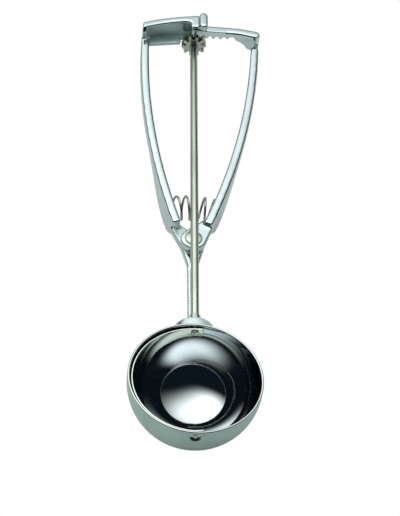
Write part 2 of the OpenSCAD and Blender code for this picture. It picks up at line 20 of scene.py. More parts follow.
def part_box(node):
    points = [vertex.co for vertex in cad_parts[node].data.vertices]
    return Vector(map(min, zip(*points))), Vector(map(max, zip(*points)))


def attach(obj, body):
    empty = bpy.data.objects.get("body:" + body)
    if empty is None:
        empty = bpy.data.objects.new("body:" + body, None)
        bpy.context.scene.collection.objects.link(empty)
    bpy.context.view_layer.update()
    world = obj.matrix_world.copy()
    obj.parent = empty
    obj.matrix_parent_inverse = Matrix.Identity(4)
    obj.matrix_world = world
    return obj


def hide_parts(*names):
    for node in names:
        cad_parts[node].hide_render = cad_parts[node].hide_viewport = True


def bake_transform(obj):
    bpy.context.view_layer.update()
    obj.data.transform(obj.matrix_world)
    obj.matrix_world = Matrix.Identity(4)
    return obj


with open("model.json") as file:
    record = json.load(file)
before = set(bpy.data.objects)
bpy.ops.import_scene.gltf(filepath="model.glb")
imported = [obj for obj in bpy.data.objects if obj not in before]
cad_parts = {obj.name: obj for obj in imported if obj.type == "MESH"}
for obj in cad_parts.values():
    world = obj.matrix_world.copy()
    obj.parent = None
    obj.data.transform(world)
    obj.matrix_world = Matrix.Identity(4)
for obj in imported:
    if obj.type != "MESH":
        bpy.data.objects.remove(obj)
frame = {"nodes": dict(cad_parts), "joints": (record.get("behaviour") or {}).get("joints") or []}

LOG = logging.getLogger("scoop")
MM = 0.001
Colour = Tuple[float, float, float]
Point = Tuple[float, float, float]
Profile = Sequence[Tuple[float, float]]
WHITE: Colour = (1.0, 1.0, 1.0)
ROD_AXIS, PIVOT_AXIS = 1, 2  # the tool axes that lathe turns about
ON_AXIS = 1e-6  # largest radius of a profile's point that counts as on the axis


# ------------------------------------------------------------------ the scoop's own frame


@dataclass(frozen=True)
class ToolFrame:
    """The scoop's own frame inside the row frame.

    Attributes:
        origin: middle of the bowl's sphere, in metres.
        along: unit vector up the rod.
        out: unit vector out of the bowl's mouth.
    """

    origin: Vector
    along: Vector
    out: Vector

    @classmethod
    def from_cad(cls) -> "ToolFrame":
        """Reads the axes from the joints and the origin from the bowl's box."""
        joints = {joint["name"]: joint for joint in frame["joints"]}
        along = Vector(joints["rod_turn"]["axis"]).normalized()
        out = Vector(joints["lever_squeeze"]["axis"]).normalized()
        low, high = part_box("bowl")
        radius = (high[0] - low[0]) / 2
        return cls(Vector((low[0] + radius, low[1] + radius, radius)), along, out)

    @property
    def matrix(self) -> Matrix:
        """Takes tool millimetres to row metres."""
        side = self.along.cross(self.out)
        turn = Matrix((side, self.along, self.out)).transposed().to_4x4()
        return Matrix.Translation(self.origin) @ turn @ Matrix.Scale(MM, 4)

    def point(self, place: Point) -> Vector:
        """The row point, in metres, of a place in tool millimetres."""
        return self.matrix @ Vector(place)

    def direction(self, way: Point) -> Vector:
        """The row direction of a tool direction."""
        return (self.matrix.to_3x3() @ Vector(way)).normalized()


TOOL = ToolFrame.from_cad()


# ------------------------------------------------------------------ node graphs


class Expr:
    """A shader socket that can be used in sums, products and other arithmetic."""

    def __init__(self, graph: "Graph", socket: bpy.types.NodeSocket) -> None:
        """Wraps a socket of a graph."""
        self.graph = graph
        self.socket = socket

    def _math(self, operation: str, *operands: "Value") -> "Expr":
        """One Math node on this and other operands."""
        return self.graph.node("ShaderNodeMath", {"operation": operation}, *operands)

    def __add__(self, other: "Value") -> "Expr":
        """self + other."""
        return self._math("ADD", self, other)

    def __radd__(self, other: "Value") -> "Expr":
        """other + self."""
        return self._math("ADD", other, self)

    def __rsub__(self, other: "Value") -> "Expr":
        """other - self."""
        return self._math("SUBTRACT", other, self)

    def __mul__(self, other: "Value") -> "Expr":
        """self * other."""
        return self._math("MULTIPLY", self, other)

    def __rmul__(self, other: "Value") -> "Expr":
        """other * self."""
        return self._math("MULTIPLY", other, self)

    def ramp(self, low: float, high: float) -> "Expr":
        """Rises smoothly from 0 to 1 as this goes from low to high."""
        settings = {"interpolation_type": "SMOOTHSTEP"}
        return self.graph.node("ShaderNodeMapRange", settings, self, low, high, 0.0, 1.0)

    def clamp(self) -> "Expr":
        """This, held between 0 and 1."""
        return self.graph.node("ShaderNodeClamp", {}, self, 0.0, 1.0)


Value = Union[Expr, float, Tuple[float, ...]]


class Graph:
    """Adds nodes to one node tree and wires them up.

    Attributes:
        MIX_INPUTS: the Mix node's sockets for the share and the two colours.
        MIX_RESULT: its output for a colour.
    """

    MIX_INPUTS = (0, 6, 7)
    MIX_RESULT = 2

    def __init__(self, tree: bpy.types.NodeTree) -> None:
        """Starts from an empty tree."""
        self.tree = tree
        tree.nodes.clear()

    def node(self, kind: str, settings: Optional[dict] = None, *inputs: Value,
             output: Union[int, str] = 0, **named: Value) -> Expr:
        """Adds one node.

        Args:
            kind: the node's type name.
            settings: properties to set on the node.
            inputs: values or expressions for the first sockets, in order.
            output: which output socket the result stands for.
            named: values or expressions for sockets by name, with _ for a space.

        Returns:
            The chosen output as an expression.
        """
        node = self.tree.nodes.new(kind)
        for key, value in (settings or {}).items():
            setattr(node, key, value)
        for socket, value in zip(node.inputs, inputs):
            self.feed(socket, value)
        for name, value in named.items():
            self.feed(node.inputs[name.replace("_", " ")], value)
        return Expr(self, node.outputs[output])

    def feed(self, socket: bpy.types.NodeSocket, value: Value) -> None:
        """Links an expression to a socket, or sets its value."""
        if isinstance(value, Expr):
            self.tree.links.new(value.socket, socket)
        elif isinstance(value, tuple) and len(value) == 3 and len(socket.default_value) == 4:
            socket.default_value = (*value, 1.0)
        else:
            socket.default_value = value

    def mix(self, share: Value, first: Value, second: Value) -> Expr:
        """Mixes two colours: first at share 0 and second at share 1."""
        node = self.tree.nodes.new("ShaderNodeMix")
        node.data_type = "RGBA"
        for index, value in zip(self.MIX_INPUTS, (share, first, second)):
            self.feed(node.inputs[index], value)
        return Expr(self, node.outputs[self.MIX_RESULT])

    def noise(self, scale: float, detail: float = 3.0, stretch: Point = (1.0, 1.0, 1.0)) -> Expr:
        """Smooth noise fixed to the object, scale features per metre, stretched along axes."""
        place = self.node("ShaderNodeTexCoord", output="Object")
        spread = self.node("ShaderNodeMapping", {}, place, Scale=stretch)
        return self.node("ShaderNodeTexNoise", {}, Vector=spread, Scale=scale, Detail=detail)

    def end(self, kind: str, shader: Expr) -> None:
        """Shows a shader through an output node of a kind."""
        self.feed(self.tree.nodes.new(kind).inputs["Surface"], shader)


# ------------------------------------------------------------------ finishes


class Grain(Enum):
    """The fine relief that a way of working leaves in metal."""

    POLISHED = "polished"
    SATIN = "satin"
    TURNED = "turned"
    CAST = "cast"


# Each grain's noise: features per metre, detail and stretch along the axes.
GRAIN_NOISE = {
    Grain.SATIN: (2500.0, 2.0, (1.0, 0.15, 1.0)),
    Grain.TURNED: (400.0, 2.0, (0.2, 9.0, 0.2)),
    Grain.CAST: (260.0, 5.0),
}
# Handled patches: features per metre and detail, and where their edges begin and end.
WEAR_NOISE = (55.0, 4.0)
WEAR_EDGE = (0.42, 0.68)


@dataclass(frozen=True)
class MetalFinish:
    """A metal's colour, gloss and fine relief.

    Attributes:
        name: the material's name.
        tint: colour where the metal is clean.
        stain: colour where it is handled or dull.
        gloss: roughness where it is clean.
        dull: roughness where it is handled.
        grain: its fine relief.
        relief: height of the relief, in metres, or 0 for none.
        metallic: share of bare metal, the rest being a dull skin.
    """

    name: str
    tint: Colour
    stain: Colour
    gloss: float
    dull: float
    grain: Grain
    relief: float = 0.0
    metallic: float = 1.0

    def material(self) -> bpy.types.Material:
        """Builds the material."""
        material = bpy.data.materials.new(self.name)
        material.use_nodes = True
        graph = Graph(material.node_tree)
        wear = graph.noise(*WEAR_NOISE).ramp(*WEAR_EDGE)
        shader = graph.node(
            "ShaderNodeBsdfPrincipled", {},
            Base_Color=graph.mix(wear, self.tint, self.stain),
            Roughness=self.gloss + wear * (self.dull - self.gloss),
            Metallic=self.metallic,
        )
        if self.relief:
            height = graph.noise(*GRAIN_NOISE[self.grain])
            bump = graph.node("ShaderNodeBump", {}, Height=height, Distance=self.relief)
            graph.feed(shader.socket.node.inputs["Normal"], bump)
        graph.end("ShaderNodeOutputMaterial", shader)
        material.diffuse_color = (*self.tint, 1.0)
        LOG.info("material %s: %s", self.name, self.grain.value)
        return material


POLISHED_STEEL = MetalFinish("polished_steel", (0.63, 0.67, 0.68), (0.59, 0.63, 0.64),
                             0.03, 0.07, Grain.POLISHED)
SATIN_STEEL = MetalFinish("satin_steel", (0.43, 0.55, 0.51), (0.38, 0.50, 0.46),
                          0.32, 0.40, Grain.SATIN, 0.00001)
STRIP_STEEL = MetalFinish("strip_steel", (0.66, 0.69, 0.60), (0.60, 0.63, 0.55),
                          0.08, 0.14, Grain.POLISHED)
PLATED_CASTING = MetalFinish("plated_casting", (0.59, 0.67, 0.67), (0.54, 0.62, 0.62),
                             0.16, 0.24, Grain.CAST, 0.00002)
# A pale matt finish for the unpolished casting: partly a rougher finish, partly painted light,
# its tint lightened to lift the shade in the pocket, foot and hub.
MATT_CASTING_PAINTED_LIGHT = MetalFinish("matt_casting_painted_light", (0.82, 0.97, 0.93), (0.75, 0.90, 0.86),
                           0.44, 0.56, Grain.CAST, 0.00004, 0.45)
NICKEL = MetalFinish("nickel", (0.56, 0.59, 0.51), (0.47, 0.51, 0.42),
                     0.22, 0.32, Grain.TURNED, 0.00001)
SPRING_WIRE = MetalFinish("spring_wire", (0.42, 0.47, 0.40), (0.34, 0.39, 0.32),
                          0.24, 0.34, Grain.TURNED, 0.00001)


class Palette:
    """Builds each finish's material once."""

    def __init__(self) -> None:
        """Starts with nothing built."""
        self._built: dict = {}

    def __getitem__(self, finish: MetalFinish) -> bpy.types.Material:
        """The material of a finish."""
        if finish not in self._built:
            self._built[finish] = finish.material()
        return self._built[finish]


PALETTE = Palette()


# ------------------------------------------------------------------ meshes


@dataclass
class Solid:
    """A mesh in tool millimetres, ready to become a Blender object.

    Attributes:
        name: the object's name.
        points: vertex places.
        faces: vertex indices of each face.
    """

    name: str
    points: np.ndarray
    faces: Sequence[Sequence[int]]

    def to_object(self) -> bpy.types.Object:
        """Makes the object in row metres, with smooth faces that all look outward."""
        mesh = bpy.data.meshes.new(self.name)
        mesh.from_pydata([tuple(p) for p in self.points], [], [tuple(f) for f in self.faces])
        shape = bmesh.new()
        shape.from_mesh(mesh)
        bmesh.ops.recalc_face_normals(shape, faces=shape.faces)
        shape.to_mesh(mesh)
        shape.free()
        mesh.transform(TOOL.matrix)
        mesh.shade_smooth()
        mesh.update()
        piece = bpy.data.objects.new(self.name, mesh)
        bpy.context.scene.collection.objects.link(piece)
        return piece


def arc(middle: Tuple[float, float], radius: float, start: float, stop: float,
        steps: int) -> list:
    """Points of a circular arc, with angles in degrees."""
    angles = np.radians(np.linspace(start, stop, steps + 1))
    return [(middle[0] + radius * math.cos(a), middle[1] + radius * math.sin(a)) for a in angles]


def rounded(profile: Profile, radius: float, steps: int = 4, most: float = 0.45) -> list:
    """Rounds the corners of a lathe profile whose ends lie on the axis.

    Args:
        profile: (radius, height) points from one end to the other.
        radius: how far from each corner its rounding starts.
        steps: steps round each corner.
        most: largest share of a side that a rounding takes.

    Returns:
        The rounded profile.
    """
    result = [profile[0]]
    corners = [Vector(point) for point in profile]
    for before, corner, after in zip(corners, corners[1:], corners[2:]):
        to_before, to_after = before - corner, after - corner
        reach = min(radius, most * to_before.length, most * to_after.length)
        start = corner + to_before.normalized() * reach
        stop = corner + to_after.normalized() * reach
        for step in range(steps + 1):
            t = step / steps
            bend = start * (1 - t) ** 2 + corner * 2 * t * (1 - t) + stop * t ** 2
            result.append((bend.x, bend.y))
    return result + [profile[-1]]


def lathe(name: str, profile: Profile, axis: int, segments: int = 96) -> Solid:
    """Turns a profile of (radius, height) about a tool axis through the origin.

    Args:
        name: the solid's name.
        profile: points from one end to the other, with radius 0 at both ends.
        axis: ROD_AXIS or PIVOT_AXIS.
        segments: steps round the axis.

    Returns:
        The closed solid.
    """
    rings = [point for point in profile if point[0] > ON_AXIS]
    across = ((axis + 1) % 3, (axis + 2) % 3)
    turns = np.linspace(0, 2 * math.pi, segments, endpoint=False)
    points = np.zeros((len(rings) * segments + 2, 3))
    for index, (radius, height) in enumerate(rings):
        block = slice(index * segments, (index + 1) * segments)
        points[block, across[0]] = radius * np.cos(turns)
        points[block, across[1]] = radius * np.sin(turns)
        points[block, axis] = height
    first, last = len(points) - 2, len(points) - 1
    points[first, axis] = profile[0][1]
    points[last, axis] = profile[-1][1]
    faces = []
    for index in range(len(rings) - 1):
        for k in range(segments):
            low, n = index * segments, (k + 1) % segments
            faces.append((low + k, low + n, low + segments + n, low + segments + k))
    top = (len(rings) - 1) * segments
    for k in range(segments):
        n = (k + 1) % segments
        faces.append((n, k, first))
        faces.append((top + k, top + n, last))
    return Solid(name, points, faces)


def tube(name: str, path: np.ndarray, radius: float, sides: int = 14) -> Solid:
    """A round wire along a path, with closed ends."""
    ahead = np.gradient(path, axis=0)
    ahead /= np.linalg.norm(ahead, axis=1)[:, None]
    side = np.cross(ahead, (0.0, 0.0, 1.0))
    side /= np.linalg.norm(side, axis=1)[:, None]
    up = np.cross(side, ahead)
    turns = np.linspace(0, 2 * math.pi, sides, endpoint=False)
    rings = [path + radius * (math.cos(a) * side + math.sin(a) * up) for a in turns]
    points = np.stack(rings, axis=1).reshape(-1, 3)
    faces = []
    for index in range(len(path) - 1):
        for k in range(sides):
            low, n = index * sides, (k + 1) % sides
            faces.append((low + k, low + n, low + sides + n, low + sides + k))
    faces.append(tuple(range(sides - 1, -1, -1)))
    faces.append(tuple(range((len(path) - 1) * sides, len(path) * sides)))
    return Solid(name, points, faces)


def shade_by(piece: bpy.types.Object, normal_at: Callable[[Vector], Vector],
             close: float = 0.9) -> None:
    """Gives a mesh exact normals wherever they are close to its faces' own.

    Args:
        piece: the object, in row metres.
        normal_at: the exact normal at a tool place, in tool axes, to either side.
        close: least cosine between an exact normal and a face's own.
    """
    mesh = piece.data
    back = TOOL.matrix.inverted()
    turn = TOOL.matrix.to_3x3() * (1 / MM)
    normals = [Vector()] * len(mesh.loops)
    for face in mesh.polygons:
        for loop in face.loop_indices:
            place = back @ mesh.vertices[mesh.loops[loop].vertex_index].co
            exact = turn @ normal_at(place)
            exact = exact if exact.dot(face.normal) > 0 else -exact
            normals[loop] = exact if exact.dot(face.normal) > close else face.normal
    mesh.normals_split_custom_set(normals)


# ------------------------------------------------------------------ pieces


def finish_piece(piece: bpy.types.Object, body: str, slot: str, *finishes: MetalFinish,
                 stands_for: Sequence[str]) -> bpy.types.Object:
    """Gives a piece its materials and body, and hides the nodes it stands for."""
    piece.data.materials.clear()
    for item in finishes:
        piece.data.materials.append(PALETTE[item])
    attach(piece, body)
    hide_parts(*stands_for)
    LOG.info("piece %s rides on %s", piece.name, body)
    return piece


@dataclass
class Bowl:
    """The spun bowl: a polished inside, a satin outside and a rolled lip.

    Attributes:
        radius: outside radius.
        wall: thickness of the sheet.
        lip: height of the straight lip above the rod's axis.
        rod_hole: radius of the hole for the rod.
        pin_hole: radius of the recess round the far pin.
        recess: depth of that recess.
        steps: steps of each quarter circle in the half section.
        rim_steps: steps of the rolled edge.
        segments: steps round the bowl.
    """

    radius: float
    wall: float = 1.0
    lip: float = 3.3
    rod_hole: float = 1.75
    pin_hole: float = 2.2
    recess: float = 0.9
    steps: int = 72
    rim_steps: int = 10
    segments: int = 224

    @property
    def middle(self) -> float:
        """Radius of the middle of the wall."""
        return self.radius - self.wall / 2

    @property
    def crown(self) -> float:
        """Height of the middle of the rolled edge."""
        return self.lip - self.wall / 2

    def profile(self) -> list:
        """The half section, from the outside bottom over the lip to the inside bottom."""
        inside = self.radius - self.wall
        outer = arc((0, 0), self.radius, -90, 0, self.steps)
        inner = arc((0, 0), inside, 0, -90, self.steps)
        rim = arc((self.middle, self.crown), self.wall / 2, 0, 180, self.rim_steps)
        return [(0.0, -self.radius)] + outer[1:] + rim + inner[:-1] + [(0.0, -inside)]

    def normal_at(self, place: Vector, slack: float = 1e-4) -> Vector:
        """The exact normal of the sphere, the lip or the rolled edge."""
        across = Vector((place.x, place.y, 0)).normalized()
        if place.z <= slack:
            return place.normalized()
        if place.z <= self.crown + slack:
            return across
        return (place - across * self.middle - Vector((0, 0, self.crown))).normalized()

    def build(self) -> bpy.types.Object:
        """Turns the shell, cuts its holes and finishes its two faces."""
        piece = lathe("bowl_shell", self.profile(), PIVOT_AXIS, self.segments).to_object()
        inside, outside = self.radius - 4, self.radius + 2  # clear of both sides of the wall
        holes = (
            (self.rod_hole, inside, outside),
            (self.pin_hole, -outside, -self.radius + self.recess),
        )
        for index, (hole, low, high) in enumerate(holes):
            cutter = [(0, low), (hole, low), (hole, high), (0, high)]
            cut_out(piece, lathe(f"cutter_{index}", cutter, ROD_AXIS, segments=48))
        shade_by(piece, self.normal_at)
        finish_piece(piece, "frame", "polished_steel", POLISHED_STEEL, SATIN_STEEL,
                     stands_for=["bowl"])
        self._paint_outside(piece)
        return piece

    def _paint_outside(self, piece: bpy.types.Object) -> None:
        """Puts the satin finish on the faces outside the lip's crown."""
        back = TOOL.matrix.inverted()
        for face in piece.data.polygons:
            place = back @ face.center
            reach = place.length if place.z < 0 else math.hypot(place.x, place.y)
            face.material_index = int(reach > self.middle and place.z < self.crown)


def cut_out(piece: bpy.types.Object, cutter: Solid) -> None:
    """Cuts a solid out of a piece."""
    tool = cutter.to_object()
    modifier = piece.modifiers.new("cut", "BOOLEAN")
    modifier.operation = "DIFFERENCE"
    modifier.solver = "EXACT"
    modifier.object = tool
    bake(piece)
    bpy.data.objects.remove(tool, do_unlink=True)


def bake(piece: bpy.types.Object) -> None:
    """Applies all of a piece's modifiers."""
    bpy.context.view_layer.update()
    shaped = piece.evaluated_get(bpy.context.evaluated_depsgraph_get())
    mesh = bpy.data.meshes.new_from_object(shaped)
    piece.modifiers.clear()
    piece.data = mesh


@dataclass
class Scraper:
    """The thin strip that sweeps the bowl, with a tab at each end.

    Attributes:
        outer: radius of its outside face.
        thickness: thickness of the strip.
        middle_width: width halfway round.
        tab_width: width at the tabs.
        tab_length: reach of the tabs past the rod's axis.
        park: angle of the parked strip below the bowl's mouth, in degrees.
        bevel: width of its softened edges.
        steps: steps along it and across it.
    """

    outer: float = 24.5
    thickness: float = 0.55
    middle_width: float = 9.6
    tab_width: float = 4.2
    tab_length: float = 3.2
    park: float = 7.0
    bevel: float = 0.12
    steps: Tuple[int, int] = (160, 10)

    def build(self) -> bpy.types.Object:
        """Maps a grid on the sphere between the strip's two edges."""
        long_steps, wide_steps = self.steps
        start = math.asin(self.tab_length / self.outer)
        sweep = np.linspace(-start, math.pi + start, long_steps + 1)
        grid = []
        for radius in (self.outer, self.outer - self.thickness):
            for angle in sweep:
                inward = max(0.0, math.sin(angle))
                half = self.tab_width / 2 + (self.middle_width - self.tab_width) / 2 * inward
                for step in range(wide_steps + 1):
                    z = half * (2 * step / wide_steps - 1)
                    flat = math.sqrt(radius ** 2 - z ** 2)
                    grid.append((-flat * math.sin(angle), flat * math.cos(angle), z))
        points = np.array(grid) @ np.array(Matrix.Rotation(math.radians(-self.park), 3, "Y")).T
        piece = Solid("scraper_strip", points, self._faces()).to_object()
        edge = piece.modifiers.new("edge", "BEVEL")
        edge.width = self.bevel * MM
        edge.segments = 2
        edge.limit_method = "ANGLE"
        bake(piece)
        shade_by(piece, lambda place: place.normalized())
        return finish_piece(piece, "drive", "polished_steel", STRIP_STEEL,
                            stands_for=["scraper"])

    def _faces(self) -> list:
        """Faces of the two skins and of the edges that join them."""
        long_steps, wide_steps = self.steps
        row = wide_steps + 1
        skin = (long_steps + 1) * row
        faces = []
        for i in range(long_steps):
            for k in range(wide_steps):
                a = i * row + k
                quad = (a, a + 1, a + row + 1, a + row)
                faces.append(quad)
                faces.append(tuple(skin + v for v in quad))
            for k in (0, wide_steps):
                a = i * row + k
                faces.append((a, a + row, skin + a + row, skin + a))
        for i in (0, long_steps):
            for k in range(wide_steps):
                a = i * row + k
                faces.append((a, a + 1, skin + a + 1, skin + a))
        return faces


@dataclass
class TurnedPart:
    """A part turned on the rod's axis or on the pivot's.

    Attributes:
        node: the CAD node that it stands for.
        profile: (radius, height) points from one end to the other.
        body: the body it rides on.
        edge: radius of its softened corners.
        axis: ROD_AXIS or PIVOT_AXIS.
        shift: place of its axis in the tool frame.
    """

    node: str
    profile: Profile
    body: str
    edge: float = 0.15
    axis: int = ROD_AXIS
    shift: Point = (0.0, 0.0, 0.0)

    def build(self) -> bpy.types.Object:
        """Turns the part with softened corners."""
        solid = lathe(f"{self.node}_turned", rounded(self.profile, self.edge), self.axis)
        solid.points += np.array(self.shift)
        piece = solid.to_object()
        return finish_piece(piece, self.body, "nickel", NICKEL, stands_for=[self.node])


@dataclass
class ReturnSpring:
    """The coil that pushes the handles apart, bent in an arc between their webs.

    Attributes:
        left: where the coil's axis meets the left web.
        right: where it meets the right web.
        bend: slope of the axis at each end, in degrees.
        coil: outside radius of the coil.
        wire: radius of the wire.
        turns: number of turns.
        closed: closed turns at each end.
        flat: pitch of the closed turns.
        first_turn: angle of the wire's start, in degrees.
        seat_gap: room between each end and its web.
        steps: steps of each turn.
    """

    left: Point
    right: Point
    bend: float = 16.706
    coil: float = 5.5
    wire: float = 0.5
    turns: float = 6.5
    closed: float = 0.75
    flat: float = 1.05
    first_turn: float = 217.0
    seat_gap: float = 0.2
    steps: int = 40

    def path(self) -> np.ndarray:
        """The wire's middle line."""
        bend = math.radians(self.bend)
        arc_r = (self.right[0] - self.left[0]) / 2 / math.sin(bend)
        length = 2 * (arc_r * bend - self.wire - self.seat_gap)
        middle = np.array([(self.left[0] + self.right[0]) / 2,
                           self.left[1] - arc_r * math.cos(bend), self.left[2]])
        places = []
        for turn in np.linspace(0, self.turns, int(self.turns * self.steps) + 1):
            along = self.seat_gap + self.wire + self._run(turn, length)
            a = bend - along / arc_r
            out = np.array([-math.sin(a), math.cos(a), 0.0])
            w = math.radians(self.first_turn + 360 * turn)
            radial = math.cos(w) * out + math.sin(w) * np.array([0.0, 0.0, 1.0])
            places.append(middle + arc_r * out + (self.coil - self.wire) * radial)
        return np.array(places)

    def _run(self, turn: float, length: float) -> float:
        """How far along the axis a turn lies in a coil of a length."""
        pitch = (length - 2 * self.closed * self.flat) / (self.turns - 2 * self.closed)
        if turn < self.closed:
            return turn * self.flat
        if turn > self.turns - self.closed:
            return length - (self.turns - turn) * self.flat
        return self.closed * self.flat + (turn - self.closed) * pitch

    def build(self) -> bpy.types.Object:
        """Draws the wire between the two handles' webs."""
        piece = tube("spring_coil", self.path(), self.wire).to_object()
        piece.data.materials.append(PALETTE[SPRING_WIRE])
        TOOL.point(self.left)
        TOOL.point(self.right)
        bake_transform(piece)
        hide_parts("return_spring")
        LOG.info("piece %s bends between frame and lever", piece.name)
        return piece


@dataclass(frozen=True)
class Region:
    """A box in which a casting has a finish, an edge or a thickness of its own.

    Attributes:
        low: lowest corner of its box, in tool millimetres.
        high: highest corner.
        fade: how far inside the box its effect has grown to the full, in millimetres.
        FACING: limits of a matt face's normal: the least across, the most along the rod
            and the least upward.
    """

    FACING: ClassVar[Point] = (-0.5, 0.3, -0.3)

    low: Point
    high: Point
    fade: float = 0.001

    def weight(self, place: Vector) -> float:
        """How much of its effect a place takes, from 0 outside the box to 1 well inside."""
        depth = min(min(v - a, b - v) for a, v, b in zip(self.low, place, self.high))
        return max(0.0, min(1.0, depth / self.fade))

    def holds(self, place: Vector, normal: Vector) -> bool:
        """Whether a face lies in the box and isn't turned left, up the rod or down."""
        left, along, down = self.FACING
        facing = normal.x > left and normal.y < along and normal.z > down
        return facing and self.weight(place) > 0.0


@dataclass
class Casting:
    """A die casting, with the soft edges that tumbling and polishing leave.

    Attributes:
        node: the CAD node that gives its form.
        body: the body it rides on.
        slot: the record's material slot, which is not used.
        finish: its finish.
        matt: its unpolished parts, which take the pale matt finish with its painted light.
        crisp: its parts whose edges stay sharper, such as teeth.
        crisp_share: how much of the softening those parts take.
        full: its parts that are thickened first, to keep their width when softened.
        growth: how much they are thickened on each side, in millimetres.
        grid: size of the mesh's cells, in millimetres.
        passes: smoothing passes, each of which softens the edges a little more.
        WELD: distance at which the node's points are joined, in millimetres.
        PULL: how far each pass draws a point towards the middle of those beside it.
        ASKEW: turn of the part against the cells, so that no long edge runs along them.
    """

    WELD: ClassVar[float] = 0.002
    PULL: ClassVar[float] = 0.5
    ASKEW: ClassVar[Matrix] = Euler((0.30, 0.23, 0.66)).to_matrix().to_4x4()

    node: str
    body: str
    slot: str = "plated_casting"
    finish: MetalFinish = PLATED_CASTING
    matt: Tuple[Region, ...] = ()
    crisp: Tuple[Region, ...] = ()
    crisp_share: float = 0.07
    full: Tuple[Region, ...] = ()
    growth: float = 0.17
    grid: float = 0.305
    passes: int = 56

    def build(self) -> bpy.types.Object:
        """Skins a copy of the node in small even faces and smooths it."""
        mesh = frame["nodes"][self.node].data.copy()
        piece = bpy.data.objects.new(f"{self.node}_cast", mesh)
        bpy.context.scene.collection.objects.link(piece)
        weld = piece.modifiers.new("weld", "WELD")
        weld.merge_threshold = self.WELD * MM
        skin = piece.modifiers.new("skin", "REMESH")
        skin.mode = "VOXEL"
        skin.voxel_size = self.grid * MM
        skin.use_smooth_shade = True
        piece.data.transform(self.ASKEW)
        bake(piece)
        piece.data.transform(self.ASKEW.inverted())
        grow = piece.modifiers.new("grow", "DISPLACE")
        grow.strength = self.growth * MM
        grow.mid_level = 0.0
        grow.vertex_group = self._mark(piece, "full", self.full, 1.0, 0.0)
        soften = piece.modifiers.new("soften", "SMOOTH")
        soften.factor = self.PULL
        soften.iterations = self.passes
        soften.vertex_group = self._mark(piece, "soft", self.crisp, self.crisp_share, 1.0)
        bake(piece)
        finish_piece(piece, self.body, self.slot, self.finish, MATT_CASTING_PAINTED_LIGHT,
                     stands_for=[self.node])
        self._leave_matt(piece)
        return piece

    @staticmethod
    def _mark(piece: bpy.types.Object, name: str, parts: Tuple[Region, ...], inside: float,
              outside: float) -> str:
        """Marks a mesh's points with one weight inside some regions and one outside.

        Args:
            piece: the object, with its mesh in row metres.
            name: the name of its new vertex group.
            parts: the regions.
            inside: weight well inside a region.
            outside: weight outside all of them.

        Returns:
            The group's name.
        """
        group = piece.vertex_groups.new(name=name)
        back = TOOL.matrix.inverted()
        for vertex in piece.data.vertices:
            place = back @ vertex.co
            weight = max((part.weight(place) for part in parts), default=0.0)
            group.add([vertex.index], outside + (inside - outside) * weight, "REPLACE")
        return group.name

    def _leave_matt(self, piece: bpy.types.Object) -> None:
        """Puts the pale matt finish, partly a rougher finish and partly painted light, on the
        faces of the unpolished parts.
        """
        back = TOOL.matrix.inverted()
        turn = back.to_3x3() * MM
        for face in piece.data.polygons:
            place, normal = back @ face.center, turn @ face.normal
            face.material_index = int(any(part.holds(place, normal) for part in self.matt))


# ------------------------------------------------------------------ studio


@dataclass(frozen=True)
class Viewpoint:
    """The camera, placed against the scoop's own frame.

    Attributes:
        elevation: height of the view above the bowl's mouth plane, in degrees.
        lean: sideways turn of the scoop about its rod, in degrees.
        roll: turn about the line of sight, in degrees.
        distance: from the camera to the bowl, along the line of sight, in millimetres.
        aim: how far the bowl lies right and up of the line of sight, in millimetres.
        focal: focal length, in heights of the render.
    """

    elevation: float = 47.98
    lean: float = 6.19
    roll: float = 0.44
    distance: float = 559.44
    aim: Tuple[float, float] = (-2.197, -46.868)
    focal: float = 2.85806

    def build(self) -> bpy.types.Object:
        """Makes the scene's camera."""
        tilt, lean, roll = (math.radians(v) for v in (self.elevation, self.lean, self.roll))
        turn = Matrix.Rotation(-lean, 3, "Y")
        right = Vector((1, 0, 0))
        up = Vector((0, math.sin(tilt), math.cos(tilt)))
        ahead = Vector((0, math.cos(tilt), -math.sin(tilt)))
        eye = turn @ -(right * self.aim[0] + up * self.aim[1] + ahead * self.distance)
        across = turn @ (right * math.cos(roll) - up * math.sin(roll))
        upward = turn @ (right * math.sin(roll) + up * math.cos(roll))
        columns = [TOOL.direction(v) for v in (across, upward, -(turn @ ahead))]
        data = bpy.data.cameras.new("camera")
        data.lens = self.focal * data.sensor_width
        camera = bpy.data.objects.new("camera", data)
        bpy.context.scene.collection.objects.link(camera)
        turned = Matrix(columns).transposed().to_4x4()
        camera.matrix_world = Matrix.Translation(TOOL.point(eye)) @ turned
        bpy.context.scene.camera = camera
        LOG.info("camera at %s", tuple(round(v, 3) for v in camera.location))
        return camera


@dataclass(frozen=True)
class SkyEdge:
    """One soft edge of the bright part of the sky.

    Attributes:
        way: the row direction that the bright part lies in.
        dark: cosine from way at which the sky has turned dark.
        bright: cosine at which it is fully bright.
    """

    way: Point
    dark: float
    bright: float

    def share(self, graph: Graph, direction: Expr) -> Expr:
        """How bright the sky is in a direction, from 0 to 1."""
        settings = {"operation": "DOT_PRODUCT"}
        along = graph.node("ShaderNodeVectorMath", settings, direction, self.way, output="Value")
        return along.ramp(self.dark, self.bright)


